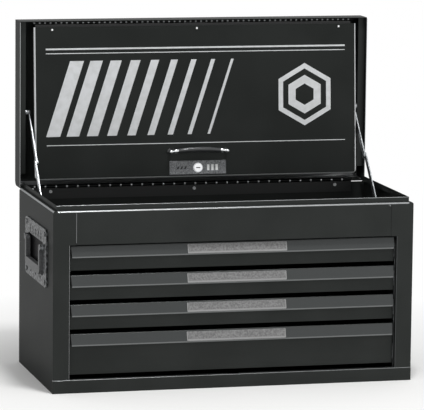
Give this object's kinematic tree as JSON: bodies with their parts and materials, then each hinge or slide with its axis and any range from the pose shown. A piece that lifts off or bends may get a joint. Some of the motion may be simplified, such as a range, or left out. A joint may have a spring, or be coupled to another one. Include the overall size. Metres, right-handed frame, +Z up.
{
  "type": "tool chest",
  "caption": "Steel tool chest with sliding drawers on ball-bearing slides, a lift-up lid on elbow stays, and a lockable drop-front cover hinged inside the lid",
  "frame": {"origin": "centre of the cabinet's base, on the floor", "axes": "+Z up, +Y to the back, +X to the right as seen from the drawers' side"},
  "size_m": [0.678, 0.3535, 0.6305],
  "materials": {
    "powder_coat": "black powder coat, fine texture, half gloss",
    "zinc_steel": "bright zinc plate",
    "hinge_steel": "hinge strip coated with the panels, rubbed bright on the knuckles",
    "handle_grey": "grey hammered enamel",
    "label_silver": "silver-grey label strip",
    "lock_grey": "grey cast lock plate",
    "chrome": "polished chrome plate",
    "black_grip": "black grip"
  },
  "bodies": {
    "cabinet": {"side_panel_left": "powder_coat", "side_panel_right": "powder_coat", "header_panel": "powder_coat", "back_panel": "powder_coat", "base_pan": "powder_coat", "till_floor": "powder_coat", "runner_posts_left": "powder_coat", "runner_posts_right": "powder_coat", "cabinet_runners_left": "zinc_steel", "cabinet_runners_right": "zinc_steel", "lid_hinge_body_leaf": "hinge_steel", "lid_hinge_pin": "zinc_steel", "lid_hinge_rivets": "hinge_steel", "handle_plate_left": "handle_grey", "handle_plate_right": "handle_grey", "handle_rivets": "handle_grey", "handle_pins": "zinc_steel", "stay_body_pivots": "zinc_steel"},
    "lid": {"lid_shell": "powder_coat", "lid_hinge_lid_leaf": "hinge_steel", "cover_hinge_lid_leaf": "hinge_steel", "cover_hinge_pin": "zinc_steel", "stay_lid_pivots": "zinc_steel"},
    "cover": {"cover_panel": "powder_coat", "cover_hinge_leaf": "hinge_steel", "cover_hinge_rivets": "hinge_steel", "lock_plate": "lock_grey", "lock_barrel": "chrome", "pull_posts": "chrome", "pull_grip": "black_grip"},
    "lock": {"lock_plug": "chrome", "lock_cam": "zinc_steel"},
    "upper_stay_left": {"stay_upper_left": "zinc_steel", "stay_elbow_rivet_left": "zinc_steel"},
    "lower_stay_left": {"stay_lower_left": "zinc_steel"},
    "handle_left": {"handle_bail_left": "handle_grey"},
    "upper_stay_right": {"stay_upper_right": "zinc_steel", "stay_elbow_rivet_right": "zinc_steel"},
    "lower_stay_right": {"stay_lower_right": "zinc_steel"},
    "handle_right": {"handle_bail_right": "handle_grey"},
    "drawer_1": {"drawer_1_box": "powder_coat", "drawer_1_front": "powder_coat", "drawer_1_label": "label_silver", "drawer_1_runners": "zinc_steel"},
    "ball_cages_1": {"drawer_1_ball_cages": "zinc_steel"},
    "drawer_2": {"drawer_2_box": "powder_coat", "drawer_2_front": "powder_coat", "drawer_2_label": "label_silver", "drawer_2_runners": "zinc_steel"},
    "ball_cages_2": {"drawer_2_ball_cages": "zinc_steel"},
    "drawer_3": {"drawer_3_box": "powder_coat", "drawer_3_front": "powder_coat", "drawer_3_label": "label_silver", "drawer_3_runners": "zinc_steel"},
    "ball_cages_3": {"drawer_3_ball_cages": "zinc_steel"},
    "drawer_4": {"drawer_4_box": "powder_coat", "drawer_4_front": "powder_coat", "drawer_4_label": "label_silver", "drawer_4_runners": "zinc_steel"},
    "ball_cages_4": {"drawer_4_ball_cages": "zinc_steel"}
  },
  "joints": [
    {"name": "lid_hinge", "type": "hinge", "parent": "cabinet", "child": "lid", "pos_m": [0, 0.1505, 0.326], "axis": [-1, 0, 0], "range_deg": [-90, 0]},
    {"name": "cover_hinge", "type": "hinge", "parent": "lid", "child": "cover", "pos_m": [0, 0.16, 0.6267], "axis": [1, 0, 0], "range_deg": [-90, 0]},
    {"name": "lock_turn", "type": "hinge", "parent": "cover", "child": "lock", "pos_m": [0, 0.14017, 0.35743], "axis": [0, 0.9976, -0.0698], "range_deg": [0, 90]},
    {"name": "lower_stay_turn_left", "type": "hinge", "parent": "cabinet", "child": "lower_stay_left", "pos_m": [-0.313, 0.014, 0.295], "axis": [1, 0, 0], "range_deg": [-35.5, 0]},
    {"name": "upper_stay_turn_left", "type": "hinge", "parent": "lid", "child": "upper_stay_left", "pos_m": [-0.3105, 0.169, 0.462], "axis": [-1, 0, 0], "range_deg": [-30, 0]},
    {"name": "handle_swing_left", "type": "hinge", "parent": "cabinet", "child": "handle_left", "pos_m": [-0.335, -0.01, 0.2505], "axis": [0, 1, 0], "range_deg": [0, 90]},
    {"name": "lower_stay_turn_right", "type": "hinge", "parent": "cabinet", "child": "lower_stay_right", "pos_m": [0.313, 0.014, 0.295], "axis": [1, 0, 0], "range_deg": [-35.5, 0]},
    {"name": "upper_stay_turn_right", "type": "hinge", "parent": "lid", "child": "upper_stay_right", "pos_m": [0.3105, 0.169, 0.462], "axis": [-1, 0, 0], "range_deg": [-30, 0]},
    {"name": "handle_swing_right", "type": "hinge", "parent": "cabinet", "child": "handle_right", "pos_m": [0.335, -0.01, 0.2505], "axis": [0, -1, 0], "range_deg": [0, 90]},
    {"name": "drawer_1_slide", "type": "slide", "parent": "cabinet", "child": "drawer_1", "axis": [0, -1, 0], "range_m": [0, 0.19]},
    {"name": "ball_cages_1_slide", "type": "slide", "parent": "cabinet", "child": "ball_cages_1", "axis": [0, -1, 0], "range_m": [0, 0.095]},
    {"name": "drawer_2_slide", "type": "slide", "parent": "cabinet", "child": "drawer_2", "axis": [0, -1, 0], "range_m": [0, 0.19]},
    {"name": "ball_cages_2_slide", "type": "slide", "parent": "cabinet", "child": "ball_cages_2", "axis": [0, -1, 0], "range_m": [0, 0.095]},
    {"name": "drawer_3_slide", "type": "slide", "parent": "cabinet", "child": "drawer_3", "axis": [0, -1, 0], "range_m": [0, 0.19]},
    {"name": "ball_cages_3_slide", "type": "slide", "parent": "cabinet", "child": "ball_cages_3", "axis": [0, -1, 0], "range_m": [0, 0.095]},
    {"name": "drawer_4_slide", "type": "slide", "parent": "cabinet", "child": "drawer_4", "axis": [0, -1, 0], "range_m": [0, 0.19]},
    {"name": "ball_cages_4_slide", "type": "slide", "parent": "cabinet", "child": "ball_cages_4", "axis": [0, -1, 0], "range_m": [0, 0.095]}
  ],
  "couplings": [
    {"joint": "lower_stay_turn_left", "follows": "lid_hinge", "ratio": 0.3907},
    {"joint": "upper_stay_turn_left", "follows": "lid_hinge", "ratio": 0.3305},
    {"joint": "lower_stay_turn_right", "follows": "lid_hinge", "ratio": 0.3907},
    {"joint": "upper_stay_turn_right", "follows": "lid_hinge", "ratio": 0.3305},
    {"joint": "ball_cages_1_slide", "follows": "drawer_1_slide", "ratio": 0.5},
    {"joint": "ball_cages_2_slide", "follows": "drawer_2_slide", "ratio": 0.5},
    {"joint": "ball_cages_3_slide", "follows": "drawer_3_slide", "ratio": 0.5},
    {"joint": "ball_cages_4_slide", "follows": "drawer_4_slide", "ratio": 0.5}
  ]
}
